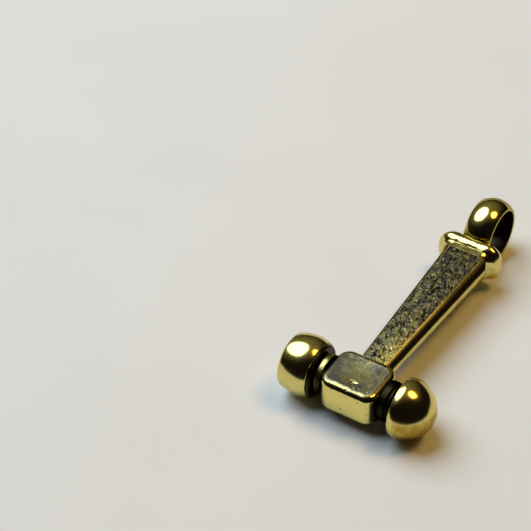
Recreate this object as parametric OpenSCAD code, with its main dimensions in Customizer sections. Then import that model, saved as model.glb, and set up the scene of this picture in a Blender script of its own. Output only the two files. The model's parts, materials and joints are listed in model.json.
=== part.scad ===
// Ball-peen hammer charm in antiqued brass, lying flat on its side.
// The head's axis runs along X, with the striking face at -X and the peen at +X.
// The handle runs along +Y from the head to the hanging ring, and +Z is up.
// The origin is under the middle of the charm, on the surface that it lies on.

/* [Striking drum] */
// Radius of the drum
drum_r = 3.6; // [2.8:0.05:4.5]
// Length of the drum's side, from its rear rim to the striking face
drum_len = 3.75; // [2.5:0.05:5]
// Rounding radius of the striking edge
drum_edge_r = 0.45; // [0.3:0.05:1.8]
// Radius of the lengthwise curve that crowns the drum's side
drum_crown_r = 5.6; // [4:0.1:12]
// Distance from the rear rim to the drum's widest place
drum_crown_x = 1.5; // [0.5:0.05:1.5]
// Depth of the turned-down back behind the rim
drum_back = 0.3; // [0.15:0.05:0.6]
// How far the turned-down back is stepped in from the rim
drum_step = 0.3; // [0.1:0.05:0.8]

/* [Necks] */
// Length of the neck between the drum and the block
face_neck_len = 1.0; // [0.6:0.05:2]
// Length of the ringed neck between the block and the peen
peen_neck_len = 1.8; // [1.2:0.05:3]
// Waist radius of both necks
neck_r = 1.8; // [1.3:0.05:2.1]
// How far both necks flare out where they meet the block
neck_flare = 0.35; // [0.1:0.05:0.5]
// How far the two turned rings stand out of the peen neck's waist
ring_rise = 0.28; // [0.1:0.02:0.34]

/* [Cheek block] */
// Length along the head
block_len = 7.32; // [5.5:0.02:9]
// Width, in the direction of the handle
block_w = 6.34; // [5.2:0.02:7.6]
// Thickness, from the lower to the upper flat
block_t = 4.36; // [3.6:0.02:6]
// Radius of the four upright corners
block_corner_r = 1.54; // [0.8:0.02:2]
// Rounding radius around both flats
block_edge_r = 0.45; // [0.2:0.05:0.8]

/* [Ball peen] */
// Radius of the peen at its rear rim
peen_r = 3.6; // [2.8:0.05:4.5]
// Length of the dome, from the rear rim to the tip
peen_dome = 4.05; // [3:0.05:5.5]

/* [Handle] */
// Length from the block to the collar
handle_len = 21.0; // [14:0.1:32]
// Width at the block
handle_w_head = 3.5; // [2.8:0.05:4.4]
// Width at the collar
handle_w_end = 5.4; // [4:0.05:6.6]
// Thickness at the block
handle_t_head = 3.4; // [2.8:0.05:4.3]
// Thickness at the collar
handle_t_end = 3.9; // [3:0.05:4.4]
// Corner radius of the section
handle_corner_r = 1.1; // [0.2:0.05:1.3]

/* [Collar] */
// Whole length of the collar
collar_len = 2.5; // [2.2:0.05:4]
// Length of the rolled rim at the collar's far end
collar_roll = 1.3; // [0.8:0.05:1.6]
// Width over the rolled rim
collar_w = 8.18; // [6.8:0.02:10]
// Thickness over the rolled rim
collar_t = 4.76; // [3.9:0.02:6]
// Corner radius of the rolled rim's section
collar_corner_r = 1.9; // [0.6:0.05:2.1]
// How far the rolled rim's middle stands proud of its edges
collar_crown = 0.2; // [0.1:0.02:0.3]
// How far the collar overhangs the handle where they meet
collar_lip = 0.08; // [0.02:0.01:0.2]

/* [Hanging ring] */
// Radius of the hole
bail_bore_r = 3.1; // [2:0.05:4]
// Wall thickness at the middle of the band
bail_wall = 0.95; // [0.6:0.05:1.4]
// Wall thickness at the edges of the band
bail_edge = 0.3; // [0.15:0.05:0.5]
// Width of the band
bail_w = 3.54; // [2.6:0.02:4.6]
// Depth of the flat filed on the ring where it seats on the collar
bail_flat = 0.17; // [0.1:0.01:0.3]

/* [Pins and tenons] */
// Radius of the pin through the head
pin_r = 0.8; // [0.5:0.05:1.1]
// Depth of the pin in the drum and in the peen
pin_depth = 2.0; // [1:0.1:2.8]
// Radius of the handle's two tenons
tenon_r = 1.2; // [0.8:0.05:1.3]
// Depth of the handle's tenon in the collar
collar_tenon_len = 1.0; // [0.6:0.05:1.2]
// Radius of the ring's peg in the collar
peg_r = 0.8; // [0.5:0.05:1.1]
// Metal left between two sockets that face each other
web = 0.45; // [0.3:0.05:0.6]
// Solder film between a pin and its hole
film = 0.02; // [0.01:0.01:0.05]

/* [Hidden] */

$fn = 96;
hull_fn = 32;       // facets of the rounded outlines that are hulled
dome_steps = 24;    // straight steps in the peen's outline
flare_steps = 4;    // slices of the collar's hollow flare
sliver = 0.01;      // thickness of a section that is hulled to the next one

// Stations along the head, counted from the middle of the block
block_end = block_len / 2;
drum_back_x = block_end + face_neck_len;
drum_rim_x = drum_back_x + drum_back;
face_x = drum_rim_x + drum_len;
peen_base_x = block_end + peen_neck_len;
peen_tip_x = peen_base_x + peen_dome;

// Stations along the handle, counted from the head's axis
handle_y = block_w / 2;
collar_y = handle_y + handle_len;
collar_end_y = collar_y + collar_len;
bail_r = bail_bore_r + bail_wall;
bail_y = collar_end_y + bail_r - bail_flat;

neck_end_r = neck_r + neck_flare;

// Joints: each tenon stops one web short of the hole or the socket behind it
pin_hole_r = pin_r + film;
head_tenon_len = handle_y - pin_hole_r - web;
peg_len = collar_len - collar_tenon_len - web;

// The head's place: the charm is centred over the origin and lies on drum, peen and ring
head_x = (face_x - peen_tip_x) / 2;
head_y = (max(drum_r, peen_r, block_w / 2) - bail_y - bail_r) / 2;
head_z = max(drum_r, peen_r, collar_t / 2);
bail_lift = bail_r - head_z;

// Places its children in the charm's frame, from a frame on the head's axis
module charm() {
    translate([head_x, head_y, head_z]) children();
}

// Turns a shape that stands along Z so that it points along +X, from x
module along_x(x) {
    translate([x, 0, 0]) rotate([0, 90, 0]) children();
}

// Turns a shape that stands along Z so that it points along -X, from -x
module along_minus_x(x) {
    translate([-x, 0, 0]) rotate([0, -90, 0]) children();
}

// Turns a shape that stands along Z so that it points along +Y, from y
module along_y(y) {
    translate([0, y, 0]) rotate([-90, 0, 0]) children();
}

// Rectangle a by b with round corners, which its smaller side limits
module round_rect(a, b, r) {
    c = min(r, (min(a, b) - sliver) / 2);
    square([a - 2 * c, b], center = true);
    square([a, b - 2 * c], center = true);
    for (sx = [-1, 1], sy = [-1, 1])
        translate([sx * (a / 2 - c), sy * (b / 2 - c)]) circle(c);
}

// Thin section across the handle's line, from y on, with width w and height h
module section(y, w, h, r) {
    along_y(y) linear_extrude(sliver) round_rect(w, h, r, $fn = hull_fn);
}

// Half outline of the drum: back, rear rim, crowned side and rounded striking edge.
// The edge's circle touches the crown's circle from inside where the two curves meet.
module drum_outline() {
    back_r = drum_r - drum_step;
    edge_x = drum_len - drum_edge_r;
    reach = drum_crown_r - drum_edge_r;
    edge_y = drum_r - drum_crown_r + sqrt(reach * reach - pow(edge_x - drum_crown_x, 2));
    meet_x = drum_crown_x + (edge_x - drum_crown_x) * drum_crown_r / reach;
    square([back_r - drum_back, drum_back]);
    intersection() {
        translate([back_r - drum_back, drum_back]) circle(drum_back);
        square([drum_r, drum_back]);
    }
    translate([0, drum_back]) {
        square([edge_y, drum_len]);
        translate([edge_y, edge_x]) circle(drum_edge_r);
        intersection() {
            translate([drum_r - drum_crown_r, drum_crown_x]) circle(drum_crown_r);
            square([drum_r, meet_x]);
        }
    }
}

module face_drum() {
    color("goldenrod") charm() along_minus_x(drum_back_x) difference() {
        rotate_extrude() drum_outline();
        translate([0, 0, -sliver]) cylinder(r = pin_hole_r, h = pin_depth + sliver);
    }
}

// Half outline of a neck: a straight waist with a hollow flare down to the block at z = 0
module neck_outline(len) {
    difference() {
        union() {
            square([neck_r, len]);
            square([neck_end_r, neck_flare]);
        }
        translate([neck_end_r, neck_flare]) circle(neck_flare);
    }
}

module face_neck() {
    color("saddlebrown") charm() along_minus_x(block_end) difference() {
        rotate_extrude() neck_outline(face_neck_len);
        translate([0, 0, -sliver]) cylinder(r = pin_hole_r, h = face_neck_len + 2 * sliver);
    }
}

// The two turned rings share the neck's length between the flare and the peen
module peen_neck() {
    pitch = (peen_neck_len - neck_flare) / 2;
    color("saddlebrown") charm() along_x(block_end) difference() {
        rotate_extrude() {
            neck_outline(peen_neck_len);
            for (i = [0, 1])
                translate([neck_r, neck_flare + (i + 0.5) * pitch]) circle(ring_rise);
        }
        translate([0, 0, -sliver]) cylinder(r = pin_hole_r, h = peen_neck_len + 2 * sliver);
    }
}

// Block with upright round corners, and both flats rounded over at their edges
module block_body() {
    hull() for (a = [0, 30, 60, 90]) {
        inset = block_edge_r * (1 - cos(a));
        height = block_t - 2 * block_edge_r * (1 - sin(a));
        linear_extrude(height, center = true)
            round_rect(block_len - 2 * inset, block_w - 2 * inset, block_corner_r - inset,
                       $fn = hull_fn);
    }
}

// The round core fills the block's rounded ends behind the flared necks, between the flats
module cheek_block() {
    color("darkkhaki") charm() difference() {
        union() {
            block_body();
            intersection() {
                along_x(-block_end) cylinder(r = neck_end_r, h = block_len);
                cube([block_len, block_w, block_t], center = true);
            }
        }
        along_x(-block_end - sliver) cylinder(r = pin_hole_r, h = block_len + 2 * sliver);
        along_y(handle_y - head_tenon_len) cylinder(r = tenon_r + film, h = handle_y);
    }
}

module ball_peen() {
    dome = [for (i = [0 : dome_steps])
        [peen_r * cos(90 * i / dome_steps), peen_dome * sin(90 * i / dome_steps)]];
    color("goldenrod") charm() along_x(peen_base_x) difference() {
        rotate_extrude() polygon(concat([[0, 0]], dome));
        translate([0, 0, -sliver]) cylinder(r = pin_hole_r, h = pin_depth + sliver);
    }
}

// Hidden rod that the whole head is threaded on
module head_pin() {
    start = drum_back_x + pin_depth;
    color("gold") charm() along_x(-start)
        cylinder(r = pin_r, h = start + peen_base_x + pin_depth);
}

module handle() {
    color("olivedrab") charm() {
        hull() {
            section(handle_y, handle_w_head, handle_t_head, handle_corner_r);
            section(collar_y - sliver, handle_w_end, handle_t_end, handle_corner_r);
        }
        along_y(handle_y - head_tenon_len) cylinder(r = tenon_r, h = head_tenon_len + sliver);
        along_y(collar_y - sliver) cylinder(r = tenon_r, h = collar_tenon_len + sliver);
    }
}

// Value at share s of the collar's hollow flare, which starts along the handle
function flared(from, to, s) = from + (to - from) * (1 - cos(90 * s));

module flare_slice(k) {
    s = k / flare_steps;
    section(
        collar_y + (collar_len - collar_roll) * sin(90 * s),
        flared(handle_w_end + 2 * collar_lip, collar_w - 2 * collar_crown, s),
        flared(handle_t_end + 2 * collar_lip, collar_t - 2 * collar_crown, s),
        flared(handle_corner_r, collar_corner_r, s)
    );
}

// Section of the rolled rim at s, which is -1 at the flare and 1 at the end face
module roll_slice(s) {
    inset = collar_crown * s * s;
    section(
        collar_end_y - collar_roll * (1 - s) / 2 - (s > 0 ? sliver : 0),
        collar_w - 2 * inset,
        collar_t - 2 * inset,
        collar_corner_r
    );
}

module collar_body() {
    for (i = [0 : flare_steps - 1]) hull() {
        flare_slice(i);
        flare_slice(i + 1);
    }
    hull() for (s = [-1 : 0.5 : 1]) roll_slice(s);
}

module end_collar() {
    color("goldenrod") charm() difference() {
        collar_body();
        along_y(collar_y - sliver) cylinder(r = tenon_r + film, h = collar_tenon_len + sliver);
        translate([0, 0, bail_lift]) along_y(collar_end_y - peg_len)
            cylinder(r = peg_r + film, h = peg_len + sliver);
    }
}

// Band with a straight hole and a domed outside, filed flat where it seats, with its peg
module bail_ring() {
    rise = bail_wall - bail_edge;
    dome_r = (pow(bail_w / 2, 2) + rise * rise) / (2 * rise);
    color("goldenrod") charm() translate([0, 0, bail_lift]) {
        difference() {
            along_x(0) translate([0, bail_y, 0]) rotate_extrude() intersection() {
                translate([bail_bore_r, -bail_w / 2]) square([bail_wall, bail_w]);
                translate([bail_r - dome_r, 0]) circle(dome_r);
            }
            translate([-bail_w, collar_end_y - bail_r, -bail_r])
                cube([2 * bail_w, bail_r, 2 * bail_r]);
        }
        along_y(collar_end_y - peg_len) cylinder(r = peg_r, h = peg_len + bail_wall / 2);
    }
}

face_drum();
face_neck();
cheek_block();
peen_neck();
ball_peen();
head_pin();
handle();
end_collar();
bail_ring();
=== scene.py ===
"""Finishes a small ball-peen hammer charm in antiqued brass around its solid model.

The charm lies on its side: the head runs along X, the handle along Y, and Z is up.
Every place comes from the solid model; the sizes here only shape what stands around it.
"""
import json
import math

import bpy
from bpy.props import FloatProperty, FloatVectorProperty, IntProperty, PointerProperty
from mathutils import Matrix, Vector, noise


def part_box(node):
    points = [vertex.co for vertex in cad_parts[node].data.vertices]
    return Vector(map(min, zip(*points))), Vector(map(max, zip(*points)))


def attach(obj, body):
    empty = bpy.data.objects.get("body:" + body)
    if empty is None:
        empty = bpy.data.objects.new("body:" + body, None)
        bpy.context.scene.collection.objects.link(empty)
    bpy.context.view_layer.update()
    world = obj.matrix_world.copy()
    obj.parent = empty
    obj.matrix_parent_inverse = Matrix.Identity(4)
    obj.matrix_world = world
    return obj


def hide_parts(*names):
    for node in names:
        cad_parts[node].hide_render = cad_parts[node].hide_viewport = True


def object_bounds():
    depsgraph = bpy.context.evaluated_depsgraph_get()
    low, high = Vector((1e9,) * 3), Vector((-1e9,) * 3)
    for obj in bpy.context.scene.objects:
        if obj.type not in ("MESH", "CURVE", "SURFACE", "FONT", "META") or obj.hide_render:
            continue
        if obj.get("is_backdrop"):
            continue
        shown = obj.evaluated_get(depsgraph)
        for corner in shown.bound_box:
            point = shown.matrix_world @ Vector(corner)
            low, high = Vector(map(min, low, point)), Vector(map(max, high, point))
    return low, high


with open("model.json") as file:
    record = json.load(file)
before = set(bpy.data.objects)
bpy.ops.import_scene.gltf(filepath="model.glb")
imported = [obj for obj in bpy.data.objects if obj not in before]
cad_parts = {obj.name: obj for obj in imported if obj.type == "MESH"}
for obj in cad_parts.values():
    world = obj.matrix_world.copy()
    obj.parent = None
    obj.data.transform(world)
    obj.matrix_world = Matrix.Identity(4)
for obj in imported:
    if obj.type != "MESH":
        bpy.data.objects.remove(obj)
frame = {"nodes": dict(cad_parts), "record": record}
CAD_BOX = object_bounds()

bl_info = {
    "name": "Hammer Charm",
    "version": (1, 0, 0),
    "blender": (4, 5, 0),
    "location": "3D View > Sidebar > Charm",
    "description": "Makes the finished pieces of a ball-peen hammer charm",
    "category": "Add Mesh",
}

MM = 0.001
BODY = "root"
FULL_TURN = 2 * math.pi
WELD = 0.002 * MM  # points closer than this become one


# ---------------- places in the solid model


def extent(node, axis):
    """Lowest and highest place of a node of the solid model along one axis."""
    low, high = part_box(node)
    return low[axis], high[axis]


def middle_of(node, axis):
    """Middle of a node of the solid model along one axis."""
    return sum(extent(node, axis)) / 2


def half_of(node, axis):
    """Half of a node's size along one axis."""
    low, high = extent(node, axis)
    return (high - low) / 2


def half_at(node, y, axis, reach=0.3 * MM):
    """Half of a node's size along an axis, from those of its corners near a place on Y."""
    places = [v.co[axis] for v in frame["nodes"][node].data.vertices if abs(v.co.y - y) < reach]
    return (max(places) - min(places)) / 2


FACE_X, DRUM_BACK_X = extent("face_drum", 0)
BLOCK_LOW, BLOCK_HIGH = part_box("cheek_block")
PEEN_BASE_X, PEEN_TIP_X = extent("ball_peen", 0)
HEAD_Y, HEAD_Z = middle_of("ball_peen", 1), middle_of("ball_peen", 2)
HEAD_X = (BLOCK_LOW.x + BLOCK_HIGH.x) / 2
DRUM_R, PEEN_R = half_of("face_drum", 2), half_of("ball_peen", 2)
HANDLE_Y = BLOCK_HIGH.y
COLLAR_Y, COLLAR_END_Y = extent("end_collar", 1)
COLLAR_HALF_W, COLLAR_HALF_T = half_of("end_collar", 0), half_of("end_collar", 2)
RING_R, RING_HALF_W = half_of("bail_ring", 2), half_of("bail_ring", 0)
RING_Y, RING_Z = extent("bail_ring", 1)[1] - RING_R, middle_of("bail_ring", 2)
HEAD_AXIS = (0.0, HEAD_Y, HEAD_Z)
HOLE = next(m for m in frame["record"]["mounts"] if m["name"] == "bail_hole")
BORE_R = HOLE["dims"]["r_mm"] * MM


# ---------------- settings


def size(name, text, millimetres, low=0.0, high=50.0):
    """A length that a user may change."""
    return FloatProperty(
        name=name,
        description=text,
        default=millimetres * MM,
        min=low * MM,
        max=high * MM,
        precision=5,
        subtype="DISTANCE",
        unit="LENGTH",
    )


def share(name, text, value, low=0.0, high=1.0):
    """A share or a strength without a unit."""
    return FloatProperty(name=name, description=text, default=value, min=low, max=high)


def angle(name, text, degrees):
    """An angle that a user may change."""
    return FloatProperty(
        name=name,
        description=text,
        default=math.radians(degrees),
        subtype="ANGLE",
        unit="ROTATION",
    )


def colour(name, text, value):
    """A colour that a user may change."""
    return FloatVectorProperty(
        name=name,
        description=text,
        default=value,
        size=3,
        min=0.0,
        max=1.0,
        subtype="COLOR",
    )


class HeadSettings(bpy.types.PropertyGroup):
    """Shapes of the turned pieces on the head's axis, and of the block between them."""

    segments: IntProperty(
        name="Segments", description="Faces round a turned piece", default=160, min=24, max=360
    )
    drum_crown_r: size("Drum crown", "Radius of the drum's lengthwise curve", 5.6)
    drum_crown_x: size("Widest place", "From the rear rim to the drum's widest place", 1.5)
    drum_rear_r: size("Rear crown", "Radius of that curve behind the widest place", 3.4)
    drum_edge_r: size("Striking edge", "Rounding of the striking edge", 0.45)
    drum_back: size("Back depth", "Depth of the turned-down back behind the rim", 0.3)
    drum_step: size("Back step", "Step from the rim in to the turned-down back", 0.16)
    rim_round: size("Rim rounding", "Rounding of the rear rims", 0.14)
    peen_tuck: size("Peen tuck", "How far the peen draws in towards its rear rim", 0.2)
    peen_tuck_len: size("Tuck length", "Length over which the peen draws in", 0.95)
    neck_r: size("Neck waist", "Waist radius of the necks", 1.8)
    boss_r: size("Boss", "Radius of the boss where a neck meets the block", 2.35)
    boss_len: size("Boss length", "Length of that boss", 0.75)
    ring_r: size("Neck ring", "Radius of the turned rings on the peen neck", 2.12)
    rings: IntProperty(
        name="Neck rings", description="Turned rings on the peen neck", default=2, min=1, max=4
    )
    block_corner_r: size("Upright corners", "Rounding of the block's upright corners", 1.54)
    block_edge_r: size("Flat edges", "Rounding round the block's two flats", 0.78)
    block_crown: size("Cheek crown", "How far the block's four sides stand out", 0.1)
    block_dish: size("Flat dish", "How far the middle of the block's flats is worn down", 0.08)
    dent_len: size("Dent length", "Length of the nick in the upper flat", 1.3)
    dent_w: size("Dent width", "Width of the nick in the upper flat", 0.36)
    dent_depth: size("Dent depth", "Depth of the nick in the upper flat", 0.14)


class HandleSettings(bpy.types.PropertyGroup):
    """Shape and grain of the handle, and shape of the collar and the ring."""

    edge_r_head: size("Edge at the head", "Rounding of the upper long edges", 0.55)
    edge_r_end: size("Edge at the collar", "Rounding of those edges at the far end", 0.8)
    seam: size("Seam", "How far the casting seam stands out along the sides", 0.17)
    flare: size("Flare", "How far the upper right edge stands out over the side", 0.15)
    foot_r: size("Lower edge", "Rounding of the long edges that face the floor", 1.1)
    lean: size("Lean", "How far the handle stands off the head's middle", 0.15)
    crown: size("Crown", "How far the middle of the handle's faces stands out", 0.07)
    grain_depth: size("Grain depth", "Depth of the cut grain marks", 0.075)
    grain_w: size("Grain width", "Width of a grain mark", 0.24)
    grain_len: size("Grain length", "Length of a grain mark", 1.1)
    grain_share: share("Grain cover", "How much of the flats the marks cover", 0.5)
    collar_roll: size("Rolled rim", "Length of the collar's rolled rim", 1.6)
    collar_crown: size("Rim crown", "How far the rolled rim's middle stands out", 0.36)
    collar_corner_r: size("Rim corner", "Corner rounding of the rolled rim", 1.9)
    ring_edge: size("Ring edge", "Thickness of the ring at its edges", 0.3)


class FinishSettings(bpy.types.PropertyGroup):
    """Colours and roughness of the brass."""

    brass: colour("Brass", "Bright polished brass", (0.75, 0.65, 0.21))
    film: colour("Patina", "Olive-grey film on the flats", (0.145, 0.133, 0.1))
    grain_film: colour("Grain patina", "Darker film on the handle's flats", (0.1, 0.098, 0.075))
    # Painted reflection: a deep gold tint on the peen's lower half for the reflection of the
    # shadowed floor.
    warm_reflection: colour("Warm Reflection", "Deep gold tarnish low on the peen", (0.42, 0.26, 0.02))
    # The black also paints shade on the pieces, where they stand in the shade of their
    # neighbours.
    dark: colour("Black", "Blackened brass in the recesses", (0.014, 0.008, 0.007))
    polish: share("Polish", "Roughness of the polished brass", 0.14)
    satin: share("Satin", "Roughness of the patinated flats", 0.34)
    mottle: size("Mottle", "Size of the patches in the film", 0.9)


class StageSettings(bpy.types.PropertyGroup):
    """Floor, lights and camera."""

    floor_size: size("Floor", "How far the pale floor reaches", 1500.0, 100.0, 9000.0)
    floor_front: size("Floor front", "From the point aimed at to the floor's front edge", 47.0)
    floor_tone: colour("Floor colour", "Plain pale floor", (0.8, 0.8, 0.79))
    window_azimuth: angle("Window azimuth", "Where the big soft light stands, from +X", 174.0)
    window_elevation: angle("Window elevation", "Height of the big soft light", 58.0)
    window_spread: angle("Window spread", "Half the angle that the big light fills", 25.5)
    window_power: share("Window strength", "Radiance of the big soft light", 4.4, 0.0, 100.0)
    window_tone: colour("Window colour", "Cool daylight", (0.74, 0.87, 1.0))
    lamp_azimuth: angle("Lamp azimuth", "Where the small warm light stands, from +X", 40.0)
    lamp_elevation: angle("Lamp elevation", "Height of the small warm light", 64.0)
    lamp_spread: angle("Lamp spread", "Half the angle that the warm light fills", 10.5)
    lamp_power: share("Lamp strength", "Radiance of the warm light", 9.3, 0.0, 100.0)
    lamp_tone: colour("Lamp colour", "Warm lamplight", (1.0, 0.62, 0.15))
    light_distance: size("Light distance", "From the charm to the lights", 600.0, 100.0, 3000.0)
    room_dark: colour("Dark room", "Dim surroundings in front", (0.006, 0.004, 0.007))
    room_light: colour("Far wall", "Dim warm wall behind and above", (0.175, 0.15, 0.085))
    camera_azimuth: angle("Camera azimuth", "0 looks along +Y", 34.47)
    camera_elevation: angle("Camera elevation", "Height of the camera above the floor", 41.53)
    camera_roll: angle("Camera roll", "Turn about the line of sight", -1.97)
    camera_distance: size("Camera distance", "From the point aimed at", 216.9, 50.0, 900.0)
    camera_aim: FloatVectorProperty(
        name="Camera aim",
        description="Point on the floor that the camera is aimed at",
        default=(-22.46 * MM, -0.54 * MM, 0.0),
        size=3,
        precision=5,
        subtype="TRANSLATION",
        unit="LENGTH",
    )
    camera_lens: FloatProperty(
        name="Lens", description="Focal length on a 36 mm sensor", default=120.7, unit="CAMERA"
    )


# ---------------- node trees


def plug(tree, value, socket):
    """Links a socket to an input, or sets the input's own value."""
    if isinstance(value, bpy.types.NodeSocket):
        tree.links.new(value, socket)
    elif value is not None:
        socket.default_value = value


def add(tree, kind, *by_index, settings=None, **by_name):
    """Adds a node, sets its properties and fills its inputs by index or by name."""
    node = tree.nodes.new(kind)
    for key, value in (settings or {}).items():
        setattr(node, key, value)
    for index, value in enumerate(by_index):
        plug(tree, value, node.inputs[index])
    for key, value in by_name.items():
        plug(tree, value, node.inputs[key.replace("_", " ")])
    return node


def calc(tree, operation, a, b=None, clamp=False):
    """Result of one number operation."""
    settings = {"operation": operation, "use_clamp": clamp}
    return add(tree, "ShaderNodeMath", a, b, settings=settings).outputs[0]


def times(tree, result, *factors):
    """Product of numbers."""
    for factor in factors:
        result = calc(tree, "MULTIPLY", result, factor)
    return result


def plus(tree, result, *terms):
    """Sum of numbers."""
    for term in terms:
        result = calc(tree, "ADD", result, term)
    return result


def less(tree, first, second):
    """The first number less the second one."""
    return calc(tree, "SUBTRACT", first, second)


def vector_calc(tree, operation, a, b=None):
    """Result of one vector operation."""
    return add(tree, "ShaderNodeVectorMath", a, b, settings={"operation": operation}).outputs[0]


def ramp(tree, value, low, high, start=0.0, end=1.0):
    """Value brought from low..high to start..end with soft ends."""
    settings = {"interpolation_type": "SMOOTHSTEP"}
    node = add(tree, "ShaderNodeMapRange", value, low, high, start, end, settings=settings)
    return node.outputs[0]


def blend(tree, factor, first, second, mode="MIX"):
    """Mix of two colours, by the node's colour sockets."""
    node = add(tree, "ShaderNodeMix", settings={"data_type": "RGBA", "blend_type": mode})
    for value, socket in ((factor, "Factor"), (first, 6), (second, 7)):
        plug(tree, value, node.inputs[socket])
    return node.outputs[2]


def cloud(tree, vector, scale, detail=2.0, roughness=0.5, seed=0.0):
    """Noise from 0 to 1."""
    return add(
        tree,
        "ShaderNodeTexNoise",
        settings={"noise_dimensions": "4D"},
        Vector=vector,
        W=seed,
        Scale=scale,
        Detail=detail,
        Roughness=roughness,
    ).outputs[0]


def start_tree(name, kind, inputs, outputs):
    """New node group with its sockets, its input node's outputs and its output node's inputs."""
    tree = bpy.data.node_groups.new(name, kind)
    for label, socket_kind, value in inputs:
        socket = tree.interface.new_socket(label, in_out="INPUT", socket_type=socket_kind)
        if value is not None:
            socket.default_value = value
    for label, socket_kind in outputs:
        tree.interface.new_socket(label, in_out="OUTPUT", socket_type=socket_kind)
    given = tree.nodes.new("NodeGroupInput").outputs
    wanted = tree.nodes.new("NodeGroupOutput").inputs
    return tree, given, wanted


def geometry_tree(name, **inputs):
    """New geometry tree with a piece, inputs of the given values, a seed and a material."""
    kinds = {int: "NodeSocketInt", float: "NodeSocketFloat", tuple: "NodeSocketVector"}
    sockets = [(label.replace("_", " "), kinds[type(v)], v) for label, v in inputs.items()]
    return start_tree(
        name,
        "GeometryNodeTree",
        [
            ("Piece", "NodeSocketGeometry", None),
            *sockets,
            ("Seed", "NodeSocketFloat", 0.0),
            ("Material", "NodeSocketMaterial", None),
        ],
        [("Geometry", "NodeSocketGeometry")],
    )


def keep_number(tree, geometry, name, value):
    """Stores a number for each point of a geometry."""
    return add(
        tree, "GeometryNodeStoreNamedAttribute", Geometry=geometry, Name=name, Value=value
    ).outputs[0]


def swell(tree, place, given):
    """Soft rise and fall of a surface, from its tree's unevenness inputs."""
    per_size = calc(tree, "DIVIDE", 1.0, given["Unevenness Size"])
    wave = cloud(tree, place, per_size, 1.0, 0.5, given["Seed"])
    return times(tree, less(tree, wave, 0.5), given["Unevenness"])


def finish_geometry(tree, geometry, rise, given, wanted):
    """Ends a tree: points moved along their normals, smooth, instances real, material set."""
    normal = add(tree, "GeometryNodeInputNormal").outputs[0]
    step = add(tree, "ShaderNodeVectorMath", normal, settings={"operation": "SCALE"}, Scale=rise)
    moved = add(tree, "GeometryNodeSetPosition", Geometry=geometry, Offset=step.outputs[0])
    smooth = add(
        tree, "GeometryNodeSetShadeSmooth", Geometry=moved.outputs[0], Shade_Smooth=True
    )
    real = add(tree, "GeometryNodeRealizeInstances", smooth.outputs[0]).outputs[0]
    done = add(tree, "GeometryNodeSetMaterial", Geometry=real, Material=given["Material"])
    plug(tree, done.outputs[0], wanted[0])


def turned_tree():
    """Turns an outline of stations (X) and radii (Y) about a line along X."""
    tree, given, wanted = geometry_tree(
        "Turned Piece",
        Segments=96,
        Axis_Place=(0.0, 0.0, 0.0),
        Unevenness=0.0,
        Unevenness_Size=MM,
    )
    outline = given["Piece"]
    count = add(tree, "GeometryNodeAttributeDomainSize", outline).outputs["Point Count"]
    rows = plus(tree, given["Segments"], 1.0)
    grid = add(tree, "GeometryNodeMeshGrid", 1.0, 1.0, count, rows).outputs[0]
    place = add(tree, "GeometryNodeInputPosition").outputs[0]
    # The grid is one unit wide about its middle, so half a unit more gives shares from 0 to 1
    flat = add(tree, "ShaderNodeSeparateXYZ", place).outputs
    last = less(tree, count, 1.0)
    index = calc(tree, "ROUND", times(tree, plus(tree, flat[0], 0.5), last))
    turn = times(tree, plus(tree, flat[1], 0.5), FULL_TURN)
    picked = add(
        tree,
        "GeometryNodeSampleIndex",
        settings={"data_type": "FLOAT_VECTOR"},
        Geometry=outline,
        Value=place,
        Index=index,
    )
    point = add(tree, "ShaderNodeSeparateXYZ", picked.outputs[0]).outputs
    bent = add(
        tree,
        "ShaderNodeCombineXYZ",
        point[0],
        times(tree, point[1], calc(tree, "COSINE", turn)),
        times(tree, point[1], calc(tree, "SINE", turn)),
    ).outputs[0]
    kept = grid
    for label in ("rub", "recess"):
        named = add(tree, "GeometryNodeInputNamedAttribute", label).outputs[0]
        value = add(tree, "GeometryNodeSampleIndex", Geometry=outline, Value=named, Index=index)
        kept = keep_number(tree, kept, label, value.outputs[0])
    placed = vector_calc(tree, "ADD", bent, given["Axis Place"])
    shaped = add(tree, "GeometryNodeSetPosition", Geometry=kept, Position=placed).outputs[0]
    merged = add(tree, "GeometryNodeMergeByDistance", Geometry=shaped, Distance=WELD)
    outward = add(tree, "GeometryNodeFlipFaces", merged.outputs[0]).outputs[0]
    finish_geometry(tree, outward, swell(tree, place, given), given, wanted)


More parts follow.
